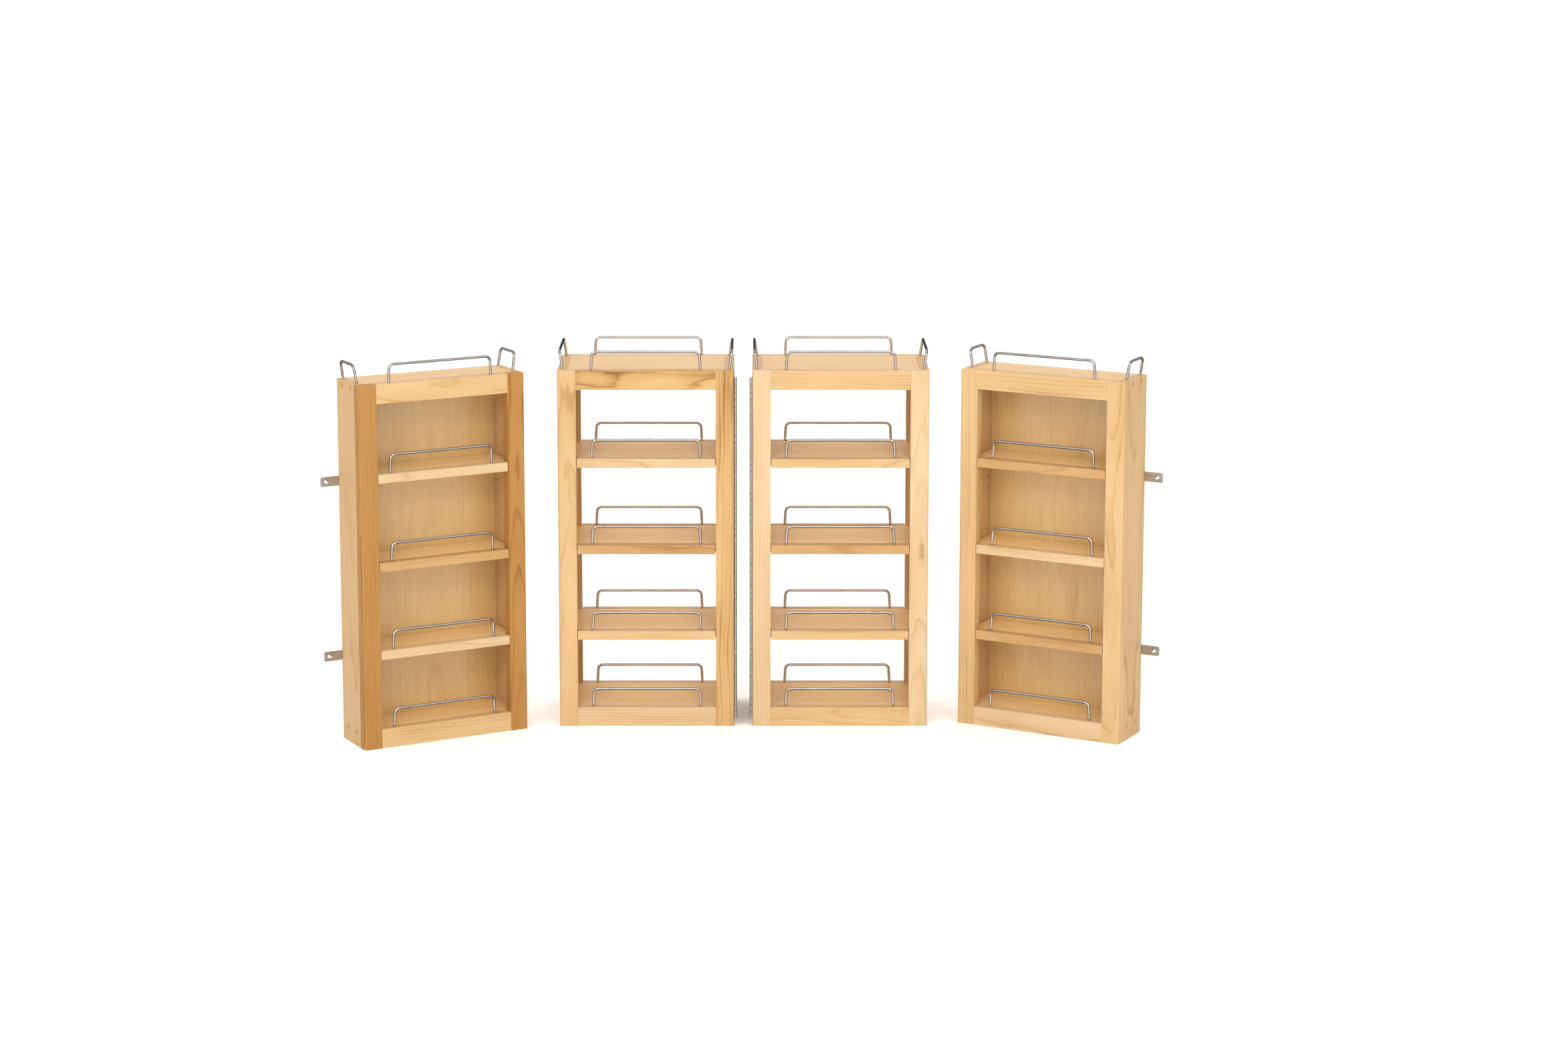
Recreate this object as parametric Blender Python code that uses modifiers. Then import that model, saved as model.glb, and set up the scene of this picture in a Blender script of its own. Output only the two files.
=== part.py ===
"""A pantry organiser set in maple: two swing-out racks on piano hinges, and two shallower door racks.

Every rack is a box of boards behind a face frame, with three loose shelves on steel clips and
chromed wire rails. Lengths are in metres and +Z is up. The set stands on z = 0, with the middle of
its bounding box over the origin. X runs along the row of racks, and -Y is the front.

Each rack is drawn in a frame of its own: x across it from its middle, y from its front face back,
and z from the floor up.
"""

import math

import bmesh
import bpy
from mathutils import Quaternion, Vector

# Racks
RACK_WIDTH = 0.3048
RACK_HEIGHT = 0.62865
SWING_DEPTH = 0.1905
DOOR_DEPTH = 0.0975

# Boards
FRAME_THICKNESS = 0.019
STILE_WIDTH = 0.03175
RAIL_HEIGHT = 0.0333
SIDE_THICKNESS = 0.016
DECK_THICKNESS = 0.016
SHELF_THICKNESS = 0.0159
PANEL_THICKNESS = 0.006
EDGE_EASING = 0.0015
JOINT_GAP = 0.0003

# Shelves and the clips that hold them
HOLE_PITCH = 0.01905
BAYS = 4
CLIP_SET_IN = 0.017
CLIP_WIDTH = 0.012
CLIP_HEIGHT = 0.0155
CLIP_REACH = 0.010
CLIP_STEEL = 0.0012
CLIP_ROOT = 0.0008
SHELF_END_GAP = 0.002
SHELF_STILE_GAP = 0.001
SHELF_BACK_GAP = 0.001

# Chromed wire rails
WIRE_RADIUS = 0.0024
WIRE_BEND = 0.0085
WIRE_BEND_STEPS = 3
WIRE_SIDES = 6
RAIL_SPAN = 0.1882
RAIL_RISE = 0.0312
RAIL_SET_BACK = 0.0095
RAIL_SPLAY = math.radians(3)
FOOT_DEPTH = 0.012
FOOT_CLEARANCE = 0.0005
END_RAIL_LEAN = math.radians(9)
END_RAIL_SET_IN = 0.0086
END_FOOT_SET_IN = 0.00345
DOOR_END_RAIL_SPAN = 0.060

# Piano hinges
HINGE_END_GAP = 0.0127
HINGE_KNUCKLES = 12
BARREL_RADIUS = 0.00225
BARREL_SET_BACK = 0.0025
BORE_RADIUS = 0.0012
PIN_RADIUS = 0.0009
LEAF_WIDTH = 0.0145
LEAF_THICKNESS = 0.001
KNUCKLE_GAP = 0.0003

# Mounting tabs of the door racks
TAB_STEEL = 0.0018
TAB_HEIGHT = 0.017
TAB_OVERHANG = 0.033
TAB_HELD = 0.0145
TAB_CORNER = 0.003
TAB_CORNER_STEPS = 4
TAB_HOLE_RADIUS = 0.0027
TAB_HOLE_SET_IN = 0.009
TAB_SCREW_RADIUS = 0.0017
TAB_CLEARANCE = 0.001
LOWER_TAB = 0.147
TAB_SPACING = 0.3048

# How the racks stand
SWING_SPACING = 0.03145
SWING_CLEARANCE = 0.0025
DOOR_TURNS = {"left": math.radians(28.7), "right": math.radians(-28.9)}
DOOR_NEAR_CORNERS = {"left": -0.0159, "right": 0.0235}

SIDES = {"left": -1, "right": 1}
CUT_MARGIN = 0.005
CIRCLE_SIDES = 12

# Worked out from the sizes above
OPENING_WIDTH = RACK_WIDTH - 2 * STILE_WIDTH
INNER_WIDTH = RACK_WIDTH - 2 * SIDE_THICKNESS
HINGE_X = RACK_WIDTH / 2 + JOINT_GAP + BARREL_RADIUS
HINGE_LENGTH = RACK_HEIGHT - 2 * HINGE_END_GAP
CLEAR_HEIGHT = RACK_HEIGHT - 2 * RAIL_HEIGHT
HOLES_PER_BAY = math.ceil(CLEAR_HEIGHT / BAYS / HOLE_PITCH)
SHELF_SPACING = HOLES_PER_BAY * HOLE_PITCH
SHELF_MIDDLES = [RACK_HEIGHT / 2 + SHELF_SPACING * step for step in (-1, 0, 1)]
NOTCH_DEPTH = FRAME_THICKNESS + SHELF_STILE_GAP
SWING_END_RAIL_SPAN = SWING_DEPTH - 2 * (FRAME_THICKNESS + JOINT_GAP + END_FOOT_SET_IN)


def sweep_scene():
    """Empties the file, so that the set can be built again in it."""
    for thing in list(bpy.data.objects):
        bpy.data.objects.remove(thing, do_unlink=True)
    for collection in list(bpy.data.collections):
        bpy.data.collections.remove(collection)


def new_collection(name):
    collection = bpy.data.collections.new(name)
    bpy.context.scene.collection.children.link(collection)
    return collection


def new_material(name, colour, roughness, metallic=0.0):
    material = bpy.data.materials.new(name)
    material.use_nodes = True
    shader = material.node_tree.nodes["Principled BSDF"]
    shader.inputs["Base Color"].default_value = (*colour, 1.0)
    shader.inputs["Roughness"].default_value = roughness
    shader.inputs["Metallic"].default_value = metallic
    return material


def new_empty(name, parent=None, location=(0, 0, 0), turn=0.0):
    empty = bpy.data.objects.new(name, None)
    set_collection.objects.link(empty)
    empty.parent = parent
    empty.location = location
    empty.rotation_euler.z = turn
    return empty


def new_piece(name, mesh, parent, location=(0, 0, 0), material=None):
    """An object of the set or, with no material, a cutter or a shape that is to be joined."""
    piece = bpy.data.objects.new(name, mesh)
    piece.parent = parent
    piece.location = location
    if material:
        set_collection.objects.link(piece)
        mesh.materials.append(material)
    else:
        tool_collection.objects.link(piece)
        piece.hide_render = True
        piece.display_type = "WIRE"
    return piece


def box(name, low, high, parent, material=None, easing=0.0):
    """A board from its lowest to its highest corner, with its origin in its middle."""
    low, high = Vector(low), Vector(high)
    builder = bmesh.new()
    bmesh.ops.create_cube(builder, size=1.0)
    bmesh.ops.scale(builder, vec=high - low, verts=builder.verts)
    mesh = bpy.data.meshes.new(name)
    builder.to_mesh(mesh)
    builder.free()
    piece = new_piece(name, mesh, parent, (low + high) / 2, material)
    if easing:
        bevel = piece.modifiers.new("Eased edges", "BEVEL")
        bevel.width = easing
        bevel.segments = 1
    return piece


def upright_rod(name, x, y, low, high, radius, parent, material=None):
    """A rod along Z, with a flat side to each of +X, -X, +Y and -Y."""
    builder = bmesh.new()
    bmesh.ops.create_cone(
        builder,
        cap_ends=True,
        segments=CIRCLE_SIDES,
        radius1=radius,
        radius2=radius,
        depth=high - low,
    )
    half_side = Quaternion((0, 0, 1), math.pi / CIRCLE_SIDES).to_matrix()
    bmesh.ops.rotate(builder, cent=(0, 0, 0), matrix=half_side, verts=builder.verts)
    mesh = bpy.data.meshes.new(name)
    builder.to_mesh(mesh)
    builder.free()
    mesh.shade_smooth()
    mesh.set_sharp_from_angle(angle=math.radians(40))
    return new_piece(name, mesh, parent, (x, y, (low + high) / 2), material)


def change(piece, tool, operation):
    """Joins the tool to the piece (UNION) or cuts the piece with it (DIFFERENCE)."""
    modifier = piece.modifiers.new(tool.name, "BOOLEAN")
    modifier.object = tool
    modifier.operation = operation
    modifier.solver = "EXACT"


def repeat(piece, count, step):
    """Copies of a tool along a line, a fixed step apart."""
    array = piece.modifiers.new("Row", "ARRAY")
    array.count = count
    array.use_relative_offset = False
    array.use_constant_offset = True
    array.constant_offset_displace = step


def rounded_corner(before, corner, after, radius, steps):
    """The arc that rounds a path's corner, as points."""
    to_before = (before - corner).normalized()
    to_after = (after - corner).normalized()
    half_angle = to_before.angle(to_after) / 2
    centre = corner + (to_before + to_after).normalized() * radius / math.sin(half_angle)
    start = corner + to_before * radius / math.tan(half_angle) - centre
    end = corner + to_after * radius / math.tan(half_angle) - centre
    axis = start.cross(end)
    sweep = start.angle(end)
    return [centre + Quaternion(axis, sweep * i / steps) @ start for i in range(steps + 1)]


def mesh_of_curve(curve):
    """A closed mesh of a curve, with its loose caps welded on."""
    guide = bpy.data.objects.new(curve.name, curve)
    tool_collection.objects.link(guide)
    bpy.context.view_layer.update()
    evaluated = guide.evaluated_get(bpy.context.evaluated_depsgraph_get())
    mesh = bpy.data.meshes.new_from_object(evaluated)
    mesh.name = curve.name
    builder = bmesh.new()
    builder.from_mesh(mesh)
    bmesh.ops.remove_doubles(builder, verts=builder.verts, dist=0.00001)
    bmesh.ops.recalc_face_normals(builder, faces=builder.faces)
    builder.to_mesh(mesh)
    builder.free()
    mesh.materials.clear()
    bpy.data.objects.remove(guide, do_unlink=True)
    return mesh


def new_spline(curve, points, closed=False):
    spline = curve.splines.new("POLY")
    spline.points.add(len(points) - 1)
    spline.use_cyclic_u = closed
    for place, point in zip(spline.points, points):
        place.co = (*point, 1.0)


def wire_rail(name, feet, parent, lean=Vector((0, 0, 0)), material=None):
    """A U of wire that stands on two feet, sunk in the wood. lean is how far its top leans over."""
    first, last = (Vector(foot) for foot in feet)
    along = (last - first).normalized()
    rise = Vector((0, 0, RAIL_RISE)) + lean
    tuck = along * RAIL_RISE * math.tan(RAIL_SPLAY)
    sunk = Vector((0, 0, -FOOT_DEPTH))
    corners = (first + rise + tuck, last + rise - tuck)
    path = [first + sunk, first]
    path += rounded_corner(first, corners[0], corners[1], WIRE_BEND, WIRE_BEND_STEPS)
    path += rounded_corner(corners[0], corners[1], last, WIRE_BEND, WIRE_BEND_STEPS)
    path += [last, last + sunk]
    curve = bpy.data.curves.new(name, "CURVE")
    curve.dimensions = "3D"
    curve.bevel_depth = WIRE_RADIUS
    curve.bevel_resolution = WIRE_SIDES // 2 - 2
    curve.use_fill_caps = True
    new_spline(curve, path)
    mesh = mesh_of_curve(curve)
    mesh.shade_smooth()
    mesh.set_sharp_from_angle(angle=math.radians(70))
    return new_piece(name, mesh, parent, material=material)


def across_feet(y, z):
    """Where the feet of a rail along the rack's width stand."""
    return [(-RAIL_SPAN / 2, y, z), (RAIL_SPAN / 2, y, z)]


def end_feet(side, middle, span):
    """Where the feet of a rail on a side board's top end stand."""
    x = side * (RACK_WIDTH / 2 - END_RAIL_SET_IN)
    return [(x, middle - span / 2, RACK_HEIGHT), (x, middle + span / 2, RACK_HEIGHT)]


def end_lean(side):
    return Vector((side * RAIL_RISE * math.tan(END_RAIL_LEAN), 0, 0))


def drill_feet(piece, feet, parent):
    """Blind holes in the top of a board, for the feet of a rail that is a piece of its own."""
    for number, (x, y, z) in enumerate(feet, 1):
        hole = upright_rod(
            f"{piece.name}_foot_hole_{number}",
            x,
            y,
            z - FOOT_DEPTH - FOOT_CLEARANCE,
            z + CUT_MARGIN,
            WIRE_RADIUS + FOOT_CLEARANCE,
            parent,
        )
        change(piece, hole, "DIFFERENCE")


def face_frame(name, front, rail_y, rack):
    """Two stiles and two rails as one glued frame, with the lowest chrome rail standing in it."""
    frame = box(
        name,
        (-RACK_WIDTH / 2, front, 0),
        (RACK_WIDTH / 2, front + FRAME_THICKNESS, RACK_HEIGHT),
        rack,
        maple,
        EDGE_EASING,
    )
    opening = box(
        f"{name}_opening",
        (-OPENING_WIDTH / 2, front - CUT_MARGIN, RAIL_HEIGHT),
        (OPENING_WIDTH / 2, front + FRAME_THICKNESS + CUT_MARGIN, RACK_HEIGHT - RAIL_HEIGHT),
        rack,
    )
    change(frame, opening, "DIFFERENCE")
    drill_feet(frame, across_feet(rail_y, RACK_HEIGHT), rack)
    change(frame, wire_rail(f"{name}_rail", across_feet(rail_y, RAIL_HEIGHT), rack), "UNION")


def clips(side_board, side, front, back, rack):
    """The steel clips that carry the shelves, as one tool: a column near each end of the board."""
    inner_face = side * INNER_WIDTH / 2
    shelf_underside = SHELF_MIDDLES[0] - SHELF_THICKNESS / 2
    flange_top = shelf_underside - JOINT_GAP
    first = front + CLIP_SET_IN - CLIP_WIDTH / 2
    reach = sorted((inner_face + side * CLIP_ROOT, inner_face - side * CLIP_REACH))
    steel = box(
        f"{side_board.name}_clips",
        (reach[0], first, flange_top - CLIP_STEEL),
        (reach[1], first + CLIP_WIDTH, flange_top + CLIP_HEIGHT),
        rack,
    )
    hollow = sorted((inner_face - side * CLIP_STEEL, inner_face - side * 2 * CLIP_REACH))
    shelf_room = box(
        f"{side_board.name}_clip_hollow",
        (hollow[0], first - CUT_MARGIN, flange_top),
        (hollow[1], first + CLIP_WIDTH + CUT_MARGIN, flange_top + 2 * CLIP_HEIGHT),
        rack,
    )
    change(steel, shelf_room, "DIFFERENCE")
    repeat(steel, 2, (0, back - front - 2 * CLIP_SET_IN, 0))
    repeat(steel, len(SHELF_MIDDLES), (0, 0, SHELF_SPACING))
    change(side_board, steel, "UNION")


def side_board(name, side, front, back, rack):
    """An upright board of the rack's full height, with its shelf clips."""
    faces = sorted((side * RACK_WIDTH / 2, side * INNER_WIDTH / 2))
    board = box(name, (faces[0], front, 0), (faces[1], back, RACK_HEIGHT), rack, maple, EDGE_EASING)
    clips(board, side, front, back, rack)
    return board


def decks(prefix, front, back, top_back, rack):
    """The fixed bottom and top boards between the two sides."""
    half = INNER_WIDTH / 2 - JOINT_GAP
    bottom_low = (-half, front, RAIL_HEIGHT - DECK_THICKNESS)
    bottom_high = (half, back, RAIL_HEIGHT)
    box(f"{prefix}_bottom_board", bottom_low, bottom_high, rack, maple)
    top_low = (-half, front, RACK_HEIGHT - DECK_THICKNESS)
    top_high = (half, top_back, RACK_HEIGHT)
    box(f"{prefix}_top_board", top_low, top_high, rack, maple)


def shelf(name, middle, back, notch_fronts, rail_rows, rack):
    """A loose shelf, cut out round the stiles, with its chrome rails standing in it."""
    half = INNER_WIDTH / 2 - SHELF_END_GAP
    top = middle + SHELF_THICKNESS / 2
    low = (-half, 0, middle - SHELF_THICKNESS / 2)
    board = box(name, low, (half, back, top), rack, maple, EDGE_EASING / 2)
    notch_width = half - OPENING_WIDTH / 2 + SHELF_STILE_GAP
    for row, notch_front in enumerate(notch_fronts, 1):
        for word, side in SIDES.items():
            across = sorted((side * (half - notch_width), side * (half + CUT_MARGIN)))
            notch = box(
                f"{name}_notch_{word}_{row}",
                (across[0], notch_front, middle - SHELF_THICKNESS),
                (across[1], notch_front + NOTCH_DEPTH + CUT_MARGIN, middle + SHELF_THICKNESS),
                rack,
            )
            change(board, notch, "DIFFERENCE")
    for row, y in enumerate(rail_rows, 1):
        change(board, wire_rail(f"{name}_rail_{row}", across_feet(y, top), rack), "UNION")


def mounting_tab(name, side, z, rack):
    """A flat steel tab with round outer corners, let into the back edge of a side board."""
    edge = RACK_WIDTH / 2
    inner = Vector((side * (edge - TAB_HELD), 0, 0))
    outer = Vector((side * (edge + TAB_OVERHANG), 0, 0))
    up = Vector((0, TAB_HEIGHT / 2, 0))
    corners = (inner - up, outer - up, outer + up, inner + up)
    outline = [corners[0]]
    outline += rounded_corner(corners[0], corners[1], corners[2], TAB_CORNER, TAB_CORNER_STEPS)
    outline += rounded_corner(corners[1], corners[2], corners[3], TAB_CORNER, TAB_CORNER_STEPS)
    outline += [corners[3]]
    curve = bpy.data.curves.new(name, "CURVE")
    curve.dimensions = "2D"
    curve.fill_mode = "BOTH"
    curve.extrude = TAB_STEEL / 2
    new_spline(curve, outline, closed=True)
    hole_x = edge + TAB_OVERHANG - TAB_HOLE_SET_IN
    for x, radius in ((hole_x, TAB_HOLE_RADIUS), (edge - TAB_HELD / 2, TAB_SCREW_RADIUS)):
        turns = [2 * math.pi * i / CIRCLE_SIDES for i in range(CIRCLE_SIDES)]
        ring = [(side * x + radius * math.cos(t), radius * math.sin(t), 0) for t in turns]
        new_spline(curve, ring, closed=True)
    tab = new_piece(name, mesh_of_curve(curve), rack, material=steel)
    tab.rotation_euler.x = math.radians(90)
    tab.location = (0, DOOR_DEPTH - TAB_STEEL / 2, z)


def let_in_tabs(board, side, rack):
    """The notches in a side board's back edge, a little higher and deeper than the tabs."""
    notch_half = TAB_HEIGHT / 2 + TAB_CLEARANCE
    inner_end = RACK_WIDTH / 2 - TAB_HELD - JOINT_GAP
    across = sorted((side * inner_end, side * (RACK_WIDTH / 2 + CUT_MARGIN)))
    notch = box(
        f"{board.name}_tab_notches",
        (across[0], DOOR_DEPTH - TAB_STEEL - JOINT_GAP, LOWER_TAB - notch_half),
        (across[1], DOOR_DEPTH + CUT_MARGIN, LOWER_TAB + notch_half),
        rack,
    )
    repeat(notch, 2, (0, 0, TAB_SPACING))
    change(board, notch, "DIFFERENCE")


def door_rack(prefix, hand, rack):
    """A shallow rack with a back panel, which screws to a cabinet door by its four tabs."""
    board_front = FRAME_THICKNESS + JOINT_GAP
    panel_front = DOOR_DEPTH - PANEL_THICKNESS
    ends = {"outer": hand, "inner": -hand}
    face_frame(f"{prefix}_face_frame", 0, RAIL_SET_BACK, rack)
    decks(prefix, board_front, panel_front - JOINT_GAP, DOOR_DEPTH, rack)
    panel_half = INNER_WIDTH / 2 - JOINT_GAP
    box(
        f"{prefix}_back_panel",
        (-panel_half, panel_front, 0),
        (panel_half, DOOR_DEPTH, RACK_HEIGHT - DECK_THICKNESS - JOINT_GAP),
        rack,
        maple,
    )
    end_middle = (FRAME_THICKNESS + DOOR_DEPTH) / 2
    for word, side in ends.items():
        board = side_board(f"{prefix}_{word}_side", side, board_front, DOOR_DEPTH, rack)
        let_in_tabs(board, side, rack)
        feet = end_feet(side, end_middle, DOOR_END_RAIL_SPAN)
        drill_feet(board, feet, rack)
        wire_rail(f"{prefix}_top_{word}_rail", feet, rack, end_lean(side), chrome)
        mounting_tab(f"{prefix}_lower_{word}_tab", side, LOWER_TAB, rack)
        mounting_tab(f"{prefix}_upper_{word}_tab", side, LOWER_TAB + TAB_SPACING, rack)
    wire_rail(
        f"{prefix}_top_front_rail", across_feet(RAIL_SET_BACK, RACK_HEIGHT), rack, material=chrome
    )
    for number, middle in enumerate(SHELF_MIDDLES, 1):
        shelf_back = panel_front - SHELF_BACK_GAP
        shelf(f"{prefix}_shelf_{number}", middle, shelf_back, [-CUT_MARGIN], [RAIL_SET_BACK], rack)


def hinge_leaf(name, side, first_knuckle, axis, material):
    """A leaf with every second knuckle of the barrel. side is which side of the axis it lies on."""
    pitch = HINGE_LENGTH / HINGE_KNUCKLES
    bottom = HINGE_END_GAP
    across = sorted((side * BARREL_RADIUS, side * (BARREL_RADIUS - LEAF_THICKNESS)))
    leaf = box(
        name,
        (across[0], 0, bottom),
        (across[1], LEAF_WIDTH, bottom + HINGE_LENGTH),
        axis,
        material,
    )
    own_start = bottom + first_knuckle * pitch + KNUCKLE_GAP
    knuckles = upright_rod(
        f"{name}_knuckles",
        0,
        0,
        own_start,
        own_start + pitch - 2 * KNUCKLE_GAP,
        BARREL_RADIUS,
        axis,
    )
    repeat(knuckles, HINGE_KNUCKLES // 2, (0, 0, 2 * pitch))
    other_start = bottom + (1 - first_knuckle) * pitch
    room = BARREL_RADIUS + KNUCKLE_GAP
    slots = box(
        f"{name}_slots",
        (-2 * BARREL_RADIUS, -CUT_MARGIN, other_start),
        (2 * BARREL_RADIUS, room, other_start + pitch),
        axis,
    )
    repeat(slots, HINGE_KNUCKLES // 2, (0, 0, 2 * pitch))
    bore = upright_rod(
        f"{name}_bore",
        0,
        0,
        bottom - CUT_MARGIN,
        bottom + HINGE_LENGTH + CUT_MARGIN,
        BORE_RADIUS,
        axis,
    )
    change(leaf, slots, "DIFFERENCE")
    change(leaf, knuckles, "UNION")
    change(leaf, bore, "DIFFERENCE")


def piano_hinge(prefix, hand, axis):
    """A continuous hinge, folded shut: one leaf on the rack's side, the other left for the cabinet."""
    hinge_leaf(f"{prefix}_hinge_rack_leaf", hand, 0, axis, steel)
    hinge_leaf(f"{prefix}_hinge_cabinet_leaf", -hand, 1, axis, steel)
    top = HINGE_END_GAP + HINGE_LENGTH
    upright_rod(f"{prefix}_hinge_pin", 0, 0, HINGE_END_GAP, top, PIN_RADIUS, axis, steel)


def swing_rack(prefix, hand, rack):
    """A deep rack, open from front to back, with a face frame on both faces."""
    back_frame_front = SWING_DEPTH - FRAME_THICKNESS
    board_front = FRAME_THICKNESS + JOINT_GAP
    board_back = back_frame_front - JOINT_GAP
    rail_rows = {"front": RAIL_SET_BACK, "back": SWING_DEPTH - RAIL_SET_BACK}
    frame_fronts = {"front": 0, "back": back_frame_front}
    for word, y in rail_rows.items():
        face_frame(f"{prefix}_{word}_frame", frame_fronts[word], y, rack)
        feet = across_feet(y, RACK_HEIGHT)
        wire_rail(f"{prefix}_top_{word}_rail", feet, rack, material=chrome)
    decks(prefix, board_front, board_back, board_back, rack)
    for word, side in (("free", hand), ("hinge", -hand)):
        board = side_board(f"{prefix}_{word}_side", side, board_front, board_back, rack)
        feet = end_feet(side, SWING_DEPTH / 2, SWING_END_RAIL_SPAN)
        end_rail = wire_rail(f"{board.name}_rail", feet, rack, end_lean(side))
        change(board, end_rail, "UNION")
    notch_fronts = [-CUT_MARGIN, back_frame_front - SHELF_STILE_GAP]
    for number, middle in enumerate(SHELF_MIDDLES, 1):
        rows = rail_rows.values()
        shelf(f"{prefix}_shelf_{number}", middle, SWING_DEPTH, notch_fronts, rows, rack)


def place_swing_rack(word, hand):
    """The hinge's axis carries the rack, so turning that empty swings the rack open."""
    axis_x = hand * (SWING_SPACING / 2 - JOINT_GAP - BARREL_RADIUS)
    axis = new_empty(f"{word}_swing_hinge_axis", layout, (axis_x, BARREL_SET_BACK, 0))
    rack = new_empty(f"{word}_swing_rack", axis, (hand * HINGE_X, -BARREL_SET_BACK, 0))
    swing_rack(f"{word}_swing", hand, rack)
    piano_hinge(f"{word}_swing", hand, axis)
    return axis_x


def place_door_rack(word, hand, axis_x):
    """Each door rack stands turned, just clear of the circle that the swing rack's corner draws."""
    swing_reach = math.hypot(HINGE_X + RACK_WIDTH / 2, SWING_DEPTH - BARREL_SET_BACK)
    corner_y = DOOR_NEAR_CORNERS[word]
    clear_of = swing_reach + SWING_CLEARANCE
    corner_x = axis_x + hand * math.sqrt(clear_of**2 - (corner_y - BARREL_SET_BACK) ** 2)
    turn = DOOR_TURNS[word]
    half = RACK_WIDTH / 2
    middle = (corner_x + hand * half * math.cos(turn), corner_y + hand * half * math.sin(turn), 0)
    rack = new_empty(f"{word}_door_rack", layout, middle, turn)
    door_rack(f"{word}_door", hand, rack)


def centre_layout():
    """Moves the whole set so that the middle of its bounding box is over the origin."""
    bpy.context.view_layer.update()
    scene_now = bpy.context.evaluated_depsgraph_get()
    corners = []
    for piece in set_collection.objects:
        if piece.type == "MESH":
            solid = piece.evaluated_get(scene_now)
            corners += [solid.matrix_world @ vertex.co for vertex in solid.data.vertices]
    for axis in (0, 1):
        places = [corner[axis] for corner in corners]
        layout.location[axis] = -(min(places) + max(places)) / 2
    bpy.context.view_layer.update()


sweep_scene()
set_collection = new_collection("Pantry organiser set")
tool_collection = new_collection("Cutters and joined shapes")
maple = new_material("lacquered maple", (0.66, 0.43, 0.20), 0.35)
chrome = new_material("chromed wire", (0.80, 0.79, 0.77), 0.08, 1.0)
steel = new_material("nickelled steel", (0.62, 0.58, 0.52), 0.32, 1.0)
layout = new_empty("layout")
for word, hand in SIDES.items():
    axis_x = place_swing_rack(word, hand)
    place_door_rack(word, hand, axis_x)
centre_layout()
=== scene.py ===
# %% [markdown]
# # A pantry organiser set in maple
#
# Four racks that fit inside a pantry cupboard. Two deep ones swing out on piano hinges, and two
# shallow ones screw to the cupboard's doors. Each is a box of boards behind a glued face frame,
# with three loose shelves on steel clips and a chromed wire rail along every edge that a jar could
# fall from.
#
# The imported model comes first, as a fixed frame: its bodies move, and every piece made here rides
# on one of them. Nothing made here may stick out of it.

# %% The imported model
import math
import random
from collections import namedtuple

import bmesh
import bpy
from mathutils import Matrix, Quaternion, Vector


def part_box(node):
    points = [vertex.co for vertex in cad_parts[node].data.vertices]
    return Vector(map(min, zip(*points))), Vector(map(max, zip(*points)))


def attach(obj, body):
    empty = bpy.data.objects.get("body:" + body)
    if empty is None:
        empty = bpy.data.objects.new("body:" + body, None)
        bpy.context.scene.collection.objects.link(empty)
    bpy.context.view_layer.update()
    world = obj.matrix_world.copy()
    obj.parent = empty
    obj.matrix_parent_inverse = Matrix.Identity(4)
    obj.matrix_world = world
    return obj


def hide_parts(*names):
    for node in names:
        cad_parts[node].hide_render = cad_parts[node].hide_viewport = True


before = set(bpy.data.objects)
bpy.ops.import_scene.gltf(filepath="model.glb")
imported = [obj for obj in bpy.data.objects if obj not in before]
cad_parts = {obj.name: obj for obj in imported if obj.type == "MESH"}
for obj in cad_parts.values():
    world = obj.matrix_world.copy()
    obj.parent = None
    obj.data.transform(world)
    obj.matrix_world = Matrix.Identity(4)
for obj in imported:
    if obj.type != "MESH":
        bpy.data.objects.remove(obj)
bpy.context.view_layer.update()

# %% [markdown]
# ## Sizes
#
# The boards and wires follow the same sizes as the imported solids, in metres. A size that a maker
# would choose has a name; what follows from others is worked out.

# %% Sizes of the boards
RACK_WIDTH = 0.3048
RACK_HEIGHT = 0.62865
SWING_DEPTH = 0.1905
DOOR_DEPTH = 0.0975
FRAME_THICKNESS = 0.019
STILE_WIDTH = 0.03175
RAIL_HEIGHT = 0.0333
SIDE_THICKNESS = 0.016
DECK_THICKNESS = 0.016
SHELF_THICKNESS = 0.0159
PANEL_THICKNESS = 0.006
JOINT_GAP = 0.0003
SHELF_MIDDLES = (0.161925, 0.314325, 0.466725)
SHELF_END_GAP = 0.002
SHELF_STILE_GAP = 0.001
SHELF_BACK_GAP = 0.001
HALF_WIDTH = RACK_WIDTH / 2
HALF_INSIDE = HALF_WIDTH - SIDE_THICKNESS
HALF_OPENING = HALF_WIDTH - STILE_WIDTH
BOARD_FRONT = FRAME_THICKNESS + JOINT_GAP
print("openings are", round(HALF_OPENING * 2000, 1), "mm wide")

# %% Sizes of the metalwork
HOLE_PITCH = 0.01905
HOLE_ROWS = range(-10, 11)
HOLE_RADIUS = 0.0025
HOLE_DEPTH = 0.009
CLIP_SET_IN = 0.017
CLIP_WIDTH = 0.012
CLIP_HEIGHT = 0.0155
CLIP_REACH = 0.010
CLIP_STEEL = 0.0012
WIRE_RADIUS = 0.0024
WIRE_BEND = 0.0085
RAIL_SPAN = 0.1882
RAIL_RISE = 0.0312
RAIL_SET_BACK = 0.0095
RAIL_SPLAY = math.radians(3)
FOOT_DEPTH = 0.012
END_RAIL_LEAN = math.radians(9)
END_RAIL_SET_IN = 0.0086
SWING_END_RAIL_SPAN = 0.145
DOOR_END_RAIL_SPAN = 0.060
HINGE_END_GAP = 0.0127
HINGE_LENGTH = RACK_HEIGHT - 2 * HINGE_END_GAP
KNUCKLES = 48
BARREL_RADIUS = 0.00225
BARREL_SET_BACK = 0.0025
BORE_RADIUS = 0.0012
PIN_RADIUS = 0.0009
LEAF_WIDTH = 0.0145
LEAF_THICKNESS = 0.001
HINGE_X = HALF_WIDTH + JOINT_GAP + BARREL_RADIUS
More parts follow.
